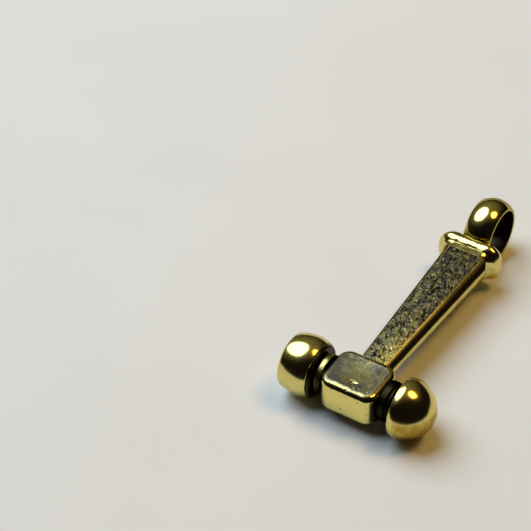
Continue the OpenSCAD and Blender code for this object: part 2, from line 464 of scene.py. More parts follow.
def grain_tree():
    """Cuts long grain marks and small pits into the flats of a bar that runs along Y."""
    tree, given, wanted = geometry_tree(
        "Cut Grain", Depth=0.05 * MM, Mark_Width=0.2 * MM, Mark_Length=MM, Cover=0.5, Slant=0.12
    )
    seed = given["Seed"]
    place = add(tree, "GeometryNodeInputPosition").outputs[0]
    normal = add(tree, "GeometryNodeInputNormal").outputs[0]
    facing = calc(tree, "ABSOLUTE", add(tree, "ShaderNodeSeparateXYZ", normal).outputs[2])
    on_flat = ramp(tree, facing, 0.9, 0.99)
    x, y, z = add(tree, "ShaderNodeSeparateXYZ", place).outputs
    slanted = plus(tree, x, times(tree, y, given["Slant"]))
    stretched = add(
        tree,
        "ShaderNodeCombineXYZ",
        calc(tree, "DIVIDE", slanted, given["Mark Width"]),
        calc(tree, "DIVIDE", y, given["Mark Length"]),
        calc(tree, "DIVIDE", z, given["Mark Width"]),
    ).outputs[0]
    # A slower cloud bends the marks sideways by about two widths
    bend = times(tree, cloud(tree, stretched, 0.35, 1.0, 0.5, seed), 2.2)
    sideways = add(tree, "ShaderNodeCombineXYZ", bend).outputs[0]
    warped = vector_calc(tree, "ADD", stretched, sideways)
    streaks = cloud(tree, warped, 1.0, 2.5, 0.62, seed)
    edge = less(tree, 1.0, given["Cover"])
    marks = ramp(tree, streaks, edge, plus(tree, edge, 0.13))
    fine = cloud(tree, warped, 3.1, 1.0, 0.5, seed)
    specks = times(tree, less(tree, fine, 0.5), 0.9)
    cut = times(tree, plus(tree, marks, specks), on_flat)
    # On the two sides only a few long pits are left
    on_side = times(tree, less(tree, 1.0, on_flat), 0.8)
    side_pits = times(tree, ramp(tree, streaks, 0.72, 0.78), on_side)
    rise = times(tree, plus(tree, cut, side_pits), given["Depth"], -1.0)
    # Both values are stored before the marks are cut, so that colour and cut agree
    recess = calc(tree, "ADD", times(tree, marks, on_flat), side_pits, clamp=True)
    blackened = keep_number(tree, given["Piece"], "recess", recess)
    # The highest ridges are rubbed through to bare brass
    ridges = times(tree, ramp(tree, fine, 0.55, 0.72), less(tree, 1.0, marks))
    film = times(tree, on_flat, less(tree, 1.0, times(tree, ridges, 0.6)))
    finish_geometry(tree, keep_number(tree, blackened, "film", film), rise, given, wanted)


def pits_tree():
    """Raises and pits a cast surface a little, and stores where the pits are."""
    tree, given, wanted = geometry_tree(
        "Cast Surface",
        Unevenness=0.0,
        Unevenness_Size=MM,
        Pit_Depth=0.03 * MM,
        Pit_Size=0.35 * MM,
        Pit_Share=0.2,
    )
    place = add(tree, "GeometryNodeInputPosition").outputs[0]
    shift = times(tree, given["Seed"], 0.37 * MM)
    moved = vector_calc(tree, "ADD", place, add(tree, "ShaderNodeCombineXYZ", shift).outputs[0])
    per_size = calc(tree, "DIVIDE", 1.0, given["Pit Size"])
    cells = add(tree, "ShaderNodeTexVoronoi", Vector=moved, Scale=per_size).outputs
    # Only some of the cells hold a pit; the cell's own colour picks them and sets their width
    chance = add(tree, "ShaderNodeSeparateXYZ", cells["Color"]).outputs[0]
    chosen = calc(tree, "LESS_THAN", chance, given["Pit Share"])
    reach = plus(tree, times(tree, chance, 0.9), 0.12)
    pits = times(tree, ramp(tree, cells["Distance"], 0.06, reach, 1.0, 0.0), chosen)
    rise = less(tree, swell(tree, place, given), times(tree, pits, given["Pit Depth"]))
    pitted = keep_number(tree, given["Piece"], "pits", pits)
    finish_geometry(tree, pitted, rise, given, wanted)


def run_tree(piece, tree_name, material, **values):
    """Runs a geometry tree on a piece and keeps the result as its plain mesh."""
    tree = bpy.data.node_groups[tree_name]
    modifier = piece.modifiers.new("Making", "NODES")
    modifier.node_group = tree
    sockets = {s.name: s.identifier for s in tree.interface.items_tree if s.in_out == "INPUT"}
    modifier[sockets["Material"]] = bpy.data.materials[material]
    for label, value in values.items():
        modifier[sockets[label.replace("_", " ")]] = value
    bpy.context.view_layer.update()
    evaluated = piece.evaluated_get(bpy.context.evaluated_depsgraph_get())
    made = bpy.data.meshes.new_from_object(evaluated)
    piece.modifiers.remove(modifier)
    made.name = piece.name
    piece.data = made
    return piece


# ---------------- outlines and meshes


def arc(centre, radius, start, end, steps):
    """Points on a circle from one angle to another, in degrees."""
    turns = [math.radians(start + (end - start) * i / steps) for i in range(steps + 1)]
    return [(centre[0] + radius * math.cos(a), centre[1] + radius * math.sin(a)) for a in turns]


def filleted(corners, steps=6):
    """Outline through corners (station, radius, fillet) with each corner rounded."""
    points = []
    for i, (x, y, fillet) in enumerate(corners):
        here = Vector((x, y))
        if fillet == 0 or i in (0, len(corners) - 1):
            points.append((x, y))
            continue
        back = (Vector(corners[i - 1][:2]) - here).normalized()
        on = (Vector(corners[i + 1][:2]) - here).normalized()
        half = back.angle(on) / 2
        reach = fillet / math.tan(half)
        centre = here + (back + on).normalized() * fillet / math.sin(half)
        first = here + back * reach - centre
        last = here + on * reach - centre
        for step in range(steps + 1):
            spoke = first.slerp(last, step / steps)
            points.append(tuple(centre + spoke.normalized() * fillet))
    return points


def filled_in(points, gap=0.12 * MM):
    """Outline with extra points on its long stretches, and none that lie on each other."""
    dense = [points[0]]
    for a, b in zip(points, points[1:]):
        length = math.dist(a, b)
        if length < 0.006 * MM:
            continue
        pieces = max(1, math.ceil(length / gap))
        for k in range(1, pieces + 1):
            dense.append((a[0] + (b[0] - a[0]) * k / pieces, a[1] + (b[1] - a[1]) * k / pieces))
    return dense


def bending(points, i, closed):
    """How sharply an outline bends at a point, per metre; out of the metal is positive."""
    count = len(points)
    before = points[(i - 1) % (count - 1)] if closed else points[max(i - 1, 0)]
    after = points[(i + 1) % (count - 1)] if closed else points[min(i + 1, count - 1)]
    first = Vector(points[i]) - Vector(before)
    second = Vector(after) - Vector(points[i])
    if first.length == 0 or second.length == 0:
        return 0.0
    turn = math.atan2(first.x * second.y - first.y * second.x, first.dot(second))
    return -turn / ((first.length + second.length) / 2)


def outline_mesh(name, points, closed=False, recess=None):
    """Mesh of one line of points, which carries where the metal is rubbed and recessed.

    Metal that bends outwards is rubbed bright, and metal that bends inwards stays black; the
    recess rule adds painted shade on top.
    """
    mesh = bpy.data.meshes.new(name)
    edges = [(i, i + 1) for i in range(len(points) - 1)]
    mesh.from_pydata([(x, y, 0.0) for x, y in points], edges, [])
    bends = [bending(points, i, closed) * MM for i in range(len(points))]
    rub = [min(max(bend * 0.35 - 0.15, 0.0), 1.0) for bend in bends]
    hollow_and_shade = [min(max(-bend * 0.4, 0.0), 1.0) for bend in bends]
    if recess:
        black = [recess(x, y) for x, y in points]
        hollow_and_shade = [max(h, b) for h, b in zip(hollow_and_shade, black)]
        rub = [r * (1 - b) for r, b in zip(rub, black)]
    keep_values(mesh, "rub", rub)
    keep_values(mesh, "recess", hollow_and_shade)
    return mesh


def soft_step(value, low, high):
    """0 below low, 1 above high, and a soft rise between them."""
    t = min(max((value - low) / (high - low), 0.0), 1.0)
    return t * t * (3 - 2 * t)


def change_values(piece, name, rule):
    """Changes a number that a finished mesh carries, by a rule for its value and its place."""
    values = piece.data.attributes[name].data
    for v in piece.data.vertices:
        values[v.index].value = rule(values[v.index].value, v.co, v.normal)


def raise_values(piece, name, amount):
    """Raises a number that a finished mesh carries, by a rule for each place on it."""
    change_values(piece, name, lambda value, at, normal: max(value, amount(at, normal)))


def keep_values(mesh, name, values):
    """Stores one number for each point of a mesh."""
    mesh.attributes.new(name, "FLOAT", "POINT").data.foreach_set("value", values)


def new_piece(name, mesh, material=None):
    """Object of a mesh, at the origin."""
    piece = bpy.data.objects.new(name, mesh)
    bpy.context.scene.collection.objects.link(piece)
    if material:
        mesh.materials.append(material)
    return piece


def turned_piece(
    name, outline, material, axis_place, seed, unevenness=0.0, recess=None, closed=False
):
    """A turned piece: its outline is turned about a line along X."""
    return run_tree(
        new_piece(name, outline_mesh(name, outline, closed, recess)),
        "Turned Piece",
        material,
        Segments=bpy.context.scene.charm_head.segments,
        Axis_Place=axis_place,
        Unevenness=unevenness,
        Unevenness_Size=1.6 * MM,
        Seed=seed,
    )


def round_rect(half_w, half_h, corner, per_corner, per_side, crown=0.0, low_corner=None):
    """Points round a rectangle with round corners and slightly crowned sides."""
    low = corner if low_corner is None else low_corner
    arcs = []
    quarters = ((1, 1, corner), (-1, 1, corner), (-1, -1, low), (1, -1, low))
    for quarter, (sx, sy, r) in enumerate(quarters):
        r = min(r, half_w, half_h)
        centre = (sx * (half_w - r), sy * (half_h - r))
        arcs.append(arc(centre, r, 90 * quarter, 90 * quarter + 90, per_corner))
    points = []
    for quarter, ends in enumerate(arcs):
        points += ends
        start, end = Vector(ends[-1]), Vector(arcs[(quarter + 1) % 4][0])
        outward = Vector(((0, 1), (-1, 0), (0, -1), (1, 0))[quarter])
        for k in range(1, per_side):
            t = k / per_side
            points.append(tuple(start.lerp(end, t) + outward * crown * 4 * t * (1 - t)))
    return points


def loft(name, sections, to_place):
    """Closed skin over sections of equal point count; to_place puts (u, v, station) in space.

    Its faces point outwards, whichever way round the sections run.
    """
    count = len(sections[0][1])
    points = [to_place(u, v, station) for station, outline in sections for u, v in outline]
    faces = []
    for row in range(len(sections) - 1):
        for k in range(count):
            a, b = row * count + k, row * count + (k + 1) % count
            faces.append((a, b, b + count, a + count))
    for row, order in ((0, -1), (len(sections) - 1, 1)):
        station, outline = sections[row]
        middle = [sum(p[i] for p in outline) / count for i in (0, 1)]
        points.append(to_place(middle[0], middle[1], station))
        hub = len(points) - 1
        ring = [row * count + k for k in range(count)]
        for k in range(count):
            faces.append((hub, ring[k], ring[(k + 1) % count])[::order])
    mesh = bpy.data.meshes.new(name)
    mesh.from_pydata(points, [], faces)
    mesh.update()
    volume = sum(p.center.dot(p.normal) * p.area for p in mesh.polygons)
    if volume < 0:
        mesh.flip_normals()
    return mesh


def finished(piece, node):
    """Attaches a finished piece to the body that it rides on, and hides the solid part that it
    stands for.
    """
    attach(piece, BODY)
    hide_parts(node)


# ---------------- shader groups and materials


def film_group():
    """Old brass: bright where it is rubbed, filmed or black where it is not; the black also
    paints shade, and the rub a highlight, where the pieces' meshes ask for it.
    """
    numbers = ("Cover", "Recess", "Rub", "Polish", "Satin", "Mottle Size")
    tree, given, wanted = start_tree(
        "Old Brass",
        "ShaderNodeTree",
        [(label, "NodeSocketColor", None) for label in ("Bright", "Film", "Black")]
        + [(label, "NodeSocketFloat", 0.0) for label in numbers],
        [("Colour", "NodeSocketColor"), ("Roughness", "NodeSocketFloat")],
    )
    place = add(tree, "ShaderNodeTexCoord").outputs["Object"]
    per_size = calc(tree, "DIVIDE", 1.0, given["Mottle Size"])
    patches = ramp(tree, cloud(tree, place, per_size, 4.0, 0.6), 0.3, 0.7, 0.55, 1.25)
    fine = cloud(tree, place, times(tree, per_size, 6.0), 3.0, 0.65)
    speck = ramp(tree, fine, 0.25, 0.75, 0.72, 1.2)
    specks = add(tree, "ShaderNodeCombineColor", speck, speck, speck).outputs[0]
    cover = calc(tree, "MULTIPLY", given["Cover"], patches, clamp=True)
    filmed = blend(tree, cover, given["Bright"], given["Film"])
    toned = blend(tree, given["Cover"], filmed, specks, "MULTIPLY")
    worn = times(tree, given["Rub"], 0.8)
    dark = calc(tree, "SUBTRACT", given["Recess"], worn, clamp=True)
    plug(tree, blend(tree, dark, toned, given["Black"]), wanted["Colour"])
    satin = times(tree, cover, less(tree, given["Satin"], given["Polish"]))
    rough = plus(tree, given["Polish"], satin, times(tree, dark, 0.1))
    spread = ramp(tree, fine, 0.2, 0.8, 0.8, 1.25)
    plug(tree, calc(tree, "MULTIPLY", rough, spread, clamp=True), wanted["Roughness"])


def texture_group():
    """Height of fine polishing scratches and of the satin film's fine grain."""
    tree, given, wanted = start_tree(
        "Surface Grain",
        "ShaderNodeTree",
        [(label, "NodeSocketFloat", 0.0) for label in ("Scratch", "Grain", "Cover")]
        + [("Run", "NodeSocketVector", (1.0, 1.0, 1.0))],
        [("Height", "NodeSocketFloat")],
    )
    place = add(tree, "ShaderNodeTexCoord").outputs["Object"]
    drawn = vector_calc(tree, "MULTIPLY", place, given["Run"])
    scratches = times(tree, cloud(tree, drawn, 9.0 / MM, 2.0, 0.5), given["Scratch"])
    sand = cloud(tree, place, 7.0 / MM, 3.0, 0.7)
    lumps = times(tree, cloud(tree, place, 1.1 / MM, 2.0, 0.5), 0.6)
    height = plus(tree, times(tree, sand, given["Grain"], given["Cover"]), scratches, lumps)
    plug(tree, height, wanted["Height"])


def emptied(owner):
    """Node tree of a material or a world, without the nodes that it starts with."""
    owner.use_nodes = True
    owner.node_tree.nodes.clear()
    return owner.node_tree


def stored(tree, name):
    """A number that a piece's mesh carries."""
    return add(tree, "ShaderNodeAttribute", settings={"attribute_name": name}).outputs["Fac"]


def brass(name, cover=0.0, film_map=False, recess=0.0, film=None, polish=None, scratch=0.2,
          grain=0.5, run=(1.0, 1.0, 1.0), bump=0.3, pit_dark=0.5, edge_tint=1.0):
    """An aged brass made of the shared groups, with its own values.

    With film_map the piece's mesh says where the film lies. A low edge_tint takes the
    pale sheen off blackened metal that is seen at a slant.
    """
    finish = bpy.context.scene.charm_finish
    groups = bpy.data.node_groups
    tree = emptied(bpy.data.materials.new(name))
    over = calc(tree, "MULTIPLY", stored(tree, "film"), cover) if film_map else cover
    pits = times(tree, stored(tree, "pits"), pit_dark)
    hollow_and_shade = calc(tree, "MAXIMUM", calc(tree, "MAXIMUM", stored(tree, "recess"), pits), recess)
    aged = add(
        tree,
        "ShaderNodeGroup",
        settings={"node_tree": groups["Old Brass"]},
        Bright=(*finish.brass, 1.0),
        Film=(*(finish.film if film is None else film), 1.0),
        Black=(*finish.dark, 1.0),
        Cover=over,
        Recess=hollow_and_shade,
        Rub=stored(tree, "rub"),
        Polish=finish.polish if polish is None else polish,
        Satin=finish.satin,
        Mottle_Size=finish.mottle,
    ).outputs
    height = add(
        tree,
        "ShaderNodeGroup",
        settings={"node_tree": groups["Surface Grain"]},
        Scratch=scratch,
        Grain=grain,
        Cover=over,
        Run=run,
    ).outputs[0]
    shader = add(
        tree,
        "ShaderNodeBsdfPrincipled",
        Base_Color=aged["Colour"],
        Metallic=1.0,
        Roughness=aged["Roughness"],
        Specular_Tint=(edge_tint, edge_tint * 0.9, edge_tint * 0.8, 1.0),
        Normal=bumped(tree, height, bump, 0.02 * MM),
    )
    add(tree, "ShaderNodeOutputMaterial", shader.outputs[0])


def bumped(tree, height, strength, distance):
    """Normal of a surface that a height roughens."""
    node = add(tree, "ShaderNodeBump", Strength=strength, Distance=distance, Height=height)
    return node.outputs[0]


def floor_paper():
    """Plain pale paper with a faint tooth."""
    tone = bpy.context.scene.charm_stage.floor_tone
    material = bpy.data.materials.new("Pale Paper")
    tree = emptied(material)
    place = add(tree, "ShaderNodeTexCoord").outputs["Object"]
    patches = ramp(tree, cloud(tree, place, 0.05 / MM, 2.0, 0.5), 0.2, 0.8)
    pale = blend(tree, patches, (*[c * 0.97 for c in tone], 1.0), (*tone, 1.0))
    tooth = bumped(tree, cloud(tree, place, 1.5 / MM, 3.0, 0.6), 0.08, 0.05 * MM)
    shader = add(
        tree, "ShaderNodeBsdfPrincipled", Base_Color=pale, Roughness=0.85, Normal=tooth
    )
    add(tree, "ShaderNodeOutputMaterial", shader.outputs[0])
    return material


# ---------------- operators, one for each piece


class CHARM_OT_workshop(bpy.types.Operator):
    """Make the node groups and the brasses that the pieces share"""

    bl_idname = "charm.workshop"
    bl_label = "Groups and Brasses"

    def execute(self, context):
        for make in (turned_tree, grain_tree, pits_tree, film_group, texture_group):
            make()
        finish = context.scene.charm_finish
        brass("Polished Brass", cover=0.09, scratch=0.15, bump=0.14)
        brass("Patina Brass", cover=1.0, film_map=True, grain=1.0, pit_dark=0.75)
        brass("Grained Brass", cover=1.0, film_map=True, film=finish.grain_film, grain=0.8,
              polish=0.36, run=(1.0, 0.12, 1.0), bump=0.35, edge_tint=0.45)
        # Painted reflection on the peen's lower half.
        brass("Warm Reflection Brass", cover=0.9, film_map=True, film=finish.warm_reflection, scratch=0.15,
              bump=0.14)
        # Black with patina and painted shade, for the necks between the head's parts.
        brass("Black Brass", cover=0.5, recess=0.95, polish=0.22, bump=0.4, edge_tint=0.2)
        brass("Ring Brass", cover=0.25, film_map=True, bump=0.15, edge_tint=0.4)
        brass("Bare Rod Brass", polish=0.25, scratch=0.8, run=(0.05, 1.0, 1.0))
        return {"FINISHED"}


def drum_outline(head):
    """Outline of the striking drum, from the middle of its face to the middle of its back."""
    length = DRUM_BACK_X - FACE_X - head.drum_back
    edge_x = length - head.drum_edge_r
    reach = head.drum_crown_r - head.drum_edge_r
    crown_y = DRUM_R - head.drum_crown_r
    edge_y = crown_y + math.sqrt(reach**2 - (edge_x - head.drum_crown_x) ** 2)
    meet = math.degrees(math.atan2(edge_y - crown_y, edge_x - head.drum_crown_x))
    rear_y = DRUM_R - head.drum_rear_r
    rim = math.degrees(math.acos(-head.drum_crown_x / head.drum_rear_r))
    rim_y = rear_y + head.drum_rear_r * math.sin(math.radians(rim))
    back_r = rim_y - head.drum_step
    side = [(length, 0.0)]
    side += arc((edge_x, edge_y), head.drum_edge_r, 0, meet, 18)
    side += arc((head.drum_crown_x, crown_y), head.drum_crown_r, meet, 90, 20)[1:]
    side += arc((head.drum_crown_x, rear_y), head.drum_rear_r, 90, rim, 16)[1:-1]
    back = filleted(
        [
            (*side[-1], 0.0),
            (0.0, rim_y, head.rim_round),
            (0.0, back_r, 0.05 * MM),
            (-head.drum_back, back_r, 0.2 * MM),
            (-head.drum_back, 0.0, 0.0),
        ]
    )
    rim_x = DRUM_BACK_X - head.drum_back
    return filled_in([(rim_x - s, r) for s, r in side + back[1:]])


class CHARM_OT_face_drum(bpy.types.Operator):
    """Turn the striking drum: crowned side, rounded striking edge and stepped back"""

    bl_idname = "charm.face_drum"
    bl_label = "Striking Drum"

    def execute(self, context):
        head = context.scene.charm_head
        rim_x = DRUM_BACK_X - head.drum_back
        drum = turned_piece(
            "face_drum_turned",
            drum_outline(head),
            "Polished Brass",
            HEAD_AXIS,
            seed=1.0,
            unevenness=0.03 * MM,
            # Painted shade: the turned-down back behind the rim is black, where the drum faces
            # the block.
            recess=lambda x, r: 0.98 if x > rim_x + 0.02 * MM else 0.0,
        )
        finished(drum, "face_drum")
        return {"FINISHED"}


class CHARM_OT_necks(bpy.types.Operator):
    """Turn the two necks, black with patina and painted shade, with a boss at the block and rings
    towards the peen
    """

    bl_idname = "charm.necks"
    bl_label = "Necks"

    def execute(self, context):
        head = context.scene.charm_head
        boss_from, boss_to = BLOCK_LOW.x - head.boss_len, BLOCK_HIGH.x + head.boss_len
        face_neck = [
            (DRUM_BACK_X, 0.0, 0.0),
            (DRUM_BACK_X, head.neck_r, 0.0),
            (boss_from - 0.25 * MM, head.neck_r, 0.12 * MM),
            (boss_from, head.boss_r, 0.3 * MM),
            (BLOCK_LOW.x, head.boss_r, 0.0),
            (BLOCK_LOW.x, 0.0, 0.0),
        ]
        peen_neck = [
            (BLOCK_HIGH.x, 0.0, 0.0),
            (BLOCK_HIGH.x, head.boss_r, 0.0),
            (boss_to, head.boss_r, 0.12 * MM),
        ]
        pitch = (PEEN_BASE_X - boss_to) / head.rings
        for k in range(head.rings):
            middle = boss_to + (k + 0.5) * pitch
            for along, radius, fillet in (
                (-0.42, head.neck_r, 0.07 * MM),
                (-0.2, head.ring_r, 0.1 * MM),
                (0.2, head.ring_r, 0.1 * MM),
                (0.42, head.neck_r, 0.07 * MM),
            ):
                peen_neck.append((middle + along * pitch, radius, fillet))
        peen_neck += [(PEEN_BASE_X, head.neck_r, 0.0), (PEEN_BASE_X, 0.0, 0.0)]

        # Painted shade over the patina: the necks are black everywhere but on the boss.
        def off_the_boss(x, r):
            return 0.0 if boss_from - 0.1 * MM < x < BLOCK_LOW.x else 0.98

        def boss_top_painted_highlight(at, normal):
            """Painted highlight: the upward-facing top of the boss next to the block is kept bare
            and bright, where the big light glints.
            """
            on_boss = soft_step(at.x, boss_from - 0.15 * MM, boss_from + 0.1 * MM)
            before_block = soft_step(-at.x, -BLOCK_LOW.x, -BLOCK_LOW.x + 0.15 * MM)
            return on_boss * before_block * soft_step(normal.z, 0.45, 0.8)

        for node, corners in (("face_neck", face_neck), ("peen_neck", peen_neck)):
            neck = turned_piece(
                node + "_turned",
                filled_in(filleted(corners)),
                "Black Brass",
                HEAD_AXIS,
                seed=3.0,
                unevenness=0.06 * MM,
                recess=off_the_boss,
            )
            # Painted highlight on the boss's top.
            raise_values(neck, "rub", boss_top_painted_highlight)
            finished(neck, node)
        return {"FINISHED"}


class CHARM_OT_ball_peen(bpy.types.Operator):
    """Turn the domed peen, which draws in a little towards its rear rim"""

    bl_idname = "charm.ball_peen"
    bl_label = "Ball Peen"

    def execute(self, context):
        head = context.scene.charm_head
        dome_len = PEEN_TIP_X - PEEN_BASE_X
        steps = 72
        dome = []
        for i in range(steps + 1):
            turn = math.pi / 2 * i / steps
            x = dome_len * math.sin(turn)
            tuck = head.peen_tuck * max(0.0, 1 - x / head.peen_tuck_len) ** 2
            dome.append((PEEN_BASE_X + x, max(PEEN_R * math.cos(turn) - tuck, 0.0)))
        rim = filleted(
            [
                (PEEN_BASE_X, 0.0, 0.0),
                (PEEN_BASE_X, dome[0][1], head.rim_round),
                (*dome[4], 0.0),
            ]
        )
        peen = turned_piece(
            "ball_peen_turned",
            filled_in(rim + dome[5:-1] + [(PEEN_TIP_X, 0.0)]),
            "Warm Reflection Brass",
            HEAD_AXIS,
            seed=5.0,
            unevenness=0.04 * MM,
            # Painted shade: the rear face at the rim is black, next to the neck.
            recess=lambda x, r: 0.95 if x < PEEN_BASE_X + 0.02 * MM else 0.0,
        )
        # Painted reflection: the warm tint on the lower half towards the tip stands in for the
        # reflection of the shadowed floor; a thin film covers all the rest
        film = [
            0.1 + 0.9 * soft_step(-v.normal.z, -0.35, -0.1) * soft_step(v.normal.x, -0.05, 0.3)
            for v in peen.data.vertices
        ]
        keep_values(peen.data, "film", film)
        finished(peen, "ball_peen")
        return {"FINISHED"}


class CHARM_OT_cheek_block(bpy.types.Operator):
    """Make the block in the head's middle: crowned sides, eased edges, a nick and cast pits"""

    bl_idname = "charm.cheek_block"
    bl_label = "Cheek Block"

    def execute(self, context):
        head = context.scene.charm_head
        middle = (BLOCK_LOW + BLOCK_HIGH) / 2
        half = (BLOCK_HIGH - BLOCK_LOW) / 2
        edge = head.block_edge_r
        flat_steps, ease_steps, rises = 42, 12, 40
        sections = []

        def section(inset, z, scale=1.0):
            corner = max(head.block_corner_r - inset, 0.3 * MM)
            crowned = []
            for x, y in round_rect(half.x - inset, half.y - inset, corner, 24, 56):
                # Each side stands back towards its ends and towards the flats
                back_x = head.block_crown * ((y / half.y) ** 2 + (z / half.z) ** 2) / 2
                back_y = head.block_crown * ((x / half.x) ** 2 + (z / half.z) ** 2) / 2
                inner_x, inner_y = x * (1 - back_x / half.x), y * (1 - back_y / half.y)
                crowned.append((inner_x * scale, inner_y * scale))
            sections.append((z, crowned))

        eases = [math.pi / 2 * k / ease_steps for k in range(ease_steps + 1)]
        for k in range(1, flat_steps):
            section(edge, -half.z, k / flat_steps)
        for a in eases:
            section(edge * (1 - math.sin(a)), -half.z + edge * (1 - math.cos(a)))
        for k in range(1, rises):
            section(0.0, (half.z - edge) * (2 * k / rises - 1))
        for a in eases:
            section(edge * (1 - math.cos(a)), half.z - edge * (1 - math.sin(a)))
        for k in range(flat_steps - 1, 0, -1):
            section(edge, half.z, k / flat_steps)

        def to_place(x, y, z):
            share_x, share_y = x / (half.x - edge), y / (half.y - edge)
            on_flat = abs(z) > half.z - WELD
            worn = head.block_dish * max(0.0, 1 - share_x**2) * max(0.0, 1 - share_y**2) * on_flat
            return Vector((x, y, z - math.copysign(worn, z))) + middle

        mesh = loft("cheek_block", sections, to_place)
        self.cut_nick(mesh, middle, half, head)
        # Film on the two flats, rubbed edges round them, and painted shade: black on the sides
        # with the necks, for the shade and dark reflections there
        film, rub, hollow_and_shade = [], [], []
        for v in mesh.vertices:
            x, z = abs(v.co.x - middle.x), abs(v.co.z - middle.z)
            film.append(soft_step(z, half.z - 0.2 * edge, half.z - 0.02 * edge))
            rub.append(soft_step(z, half.z - edge, half.z - 0.6 * edge))
            # Painted shade: the sides with the necks are black.
            hollow_and_shade.append(0.97 * soft_step(x, half.x - 0.7 * MM, half.x - 0.5 * MM))
        for name, values in (("film", film), ("rub", rub), ("recess", hollow_and_shade)):
            keep_values(mesh, name, values)
        block = run_tree(
            new_piece("cheek_block_cast", mesh),
            "Cast Surface",
            "Patina Brass",
            Unevenness=0.05 * MM,
            Unevenness_Size=1.8 * MM,
            Pit_Depth=0.04 * MM,
            Pit_Size=0.55 * MM,
            Pit_Share=0.28,
            Seed=7.0,
        )
        finished(block, "cheek_block")
        return {"FINISHED"}

    def cut_nick(self, mesh, middle, half, head):
        """Presses one short nick into the upper flat, near its front edge."""
        at = Vector((middle.x + 0.06 * half.x, middle.y - 0.42 * half.y))
        run = Vector((1.0, -0.05)).normalized()
        for v in mesh.vertices:
            if v.co.z < middle.z + 0.9 * half.z:
                continue
            offset = Vector((v.co.x, v.co.y)) - at
            along = offset.dot(run) / (head.dent_len / 2)
            across = (offset.x * -run.y + offset.y * run.x) / (head.dent_w / 2)
            reach = along**2 + across**2
            if reach < 1:
                v.co.z -= head.dent_depth * (1 - reach) ** 1.5


class CHARM_OT_handle(bpy.types.Operator):
    """Loft the tapered handle and cut the wood grain into it"""

    bl_idname = "charm.handle"
    bl_label = "Handle"

    def execute(self, context):
        handle = context.scene.charm_handle
        rows = 300
        # The bar reaches a little into the block and into the collar
        start_y, end_y = HANDLE_Y - 0.4 * MM, COLLAR_Y + 0.15 * MM
        near_w, near_t = half_at("handle", HANDLE_Y, 0), half_at("handle", HANDLE_Y, 2)
        far_w, far_t = half_of("handle", 0), half_of("handle", 2)
        sections = []
        for k in range(rows + 1):
            y = start_y + (end_y - start_y) * k / rows
            t = min(max((y - HANDLE_Y) / (COLLAR_Y - HANDLE_Y), 0.0), 1.0)
            half_w = near_w * (1 - t) + far_w * t
            half_t = near_t * (1 - t) + far_t * t
            outline = round_rect(
                half_w - handle.crown,
                half_t - handle.crown,
                handle.edge_r_head * (1 - t) + handle.edge_r_end * t,
                per_corner=20,
                per_side=40,
                crown=handle.crown,
                low_corner=handle.foot_r,
            )
            sections.append((y, self.worn_outline(handle, outline, y, half_w, half_t)))

        def to_place(u, v, y):
            return Vector((HEAD_X + handle.lean + u, y, HEAD_Z + v))

        mesh = loft("handle", sections, to_place)
        bar = run_tree(
            new_piece("handle_grained", mesh),
            "Cut Grain",
            "Grained Brass",
            Depth=handle.grain_depth,
            Mark_Width=handle.grain_w,
            Mark_Length=handle.grain_len,
            Cover=handle.grain_share,
            Slant=0.1,
            Seed=11.0,
        )
        # Painted shade: the sides are blackened for the dark shadow that they reflect.
        raise_values(bar, "recess", self.painted_black_sides)
        change_values(bar, "film", self.rubbed_film)
        finished(bar, "handle")
        return {"FINISHED"}

    def worn_outline(self, handle, outline, y, half_w, half_t):
        """Outline of the bar with its casting seam and with its upper right edge drawn out."""
        # The rubbed seam wanders a little, up and down the middle of both sides
        seam_width, wave_len = 0.34 * MM, 1.7 * MM
        seam_z = (-0.25 + 0.2 * noise.noise(Vector((y / wave_len, 0.0, 4.0)))) * MM
        worn = []
        for u, v in outline:
            on_side = soft_step(abs(u), half_w - 0.5 * MM, half_w - 0.25 * MM)
            seam = handle.seam * math.exp(-(((v - seam_z) / seam_width) ** 2)) * on_side
            flare = handle.flare * soft_step(v, 0.0, half_t) * soft_step(u, 0.0, half_w)
            worn.append((u + math.copysign(seam, u) + flare, v))
        return worn

    @staticmethod
    def painted_black_sides(at, normal):
        """Painted reflection and shade: black sides above the bright lower strip, for the dark
        shadow that they reflect; black left edge, darker towards the collar.
        """
        side = 1 - soft_step(abs(normal.z), 0.45, 0.75)
        above = soft_step(at.z - HEAD_Z, 0.12 * MM, 0.38 * MM)
        left_edge = soft_step(-normal.x, 0.12, 0.35)
        beyond = soft_step(at.y, HANDLE_Y + 9 * MM, HANDLE_Y + 14 * MM)
        right_edge = beyond * soft_step(normal.x, 0.12, 0.35) * above
        far = soft_step(at.y, HANDLE_Y + 11 * MM, COLLAR_Y)
        flat = far * soft_step(normal.z, 0.8, 0.98)
        return max(0.985 * side * above, 0.85 * left_edge, 0.7 * right_edge, 0.4 * flat)

    @staticmethod
    def rubbed_film(film, at, normal):
        """Film rubbed thin near the head, on the right half of the flat."""
        near = 1 - soft_step(at.y, HANDLE_Y + 1 * MM, HANDLE_Y + 9 * MM)
        right = soft_step(at.x - HEAD_X, -0.6 * MM, 1.4 * MM)
        return film * (1 - 0.7 * near * right)


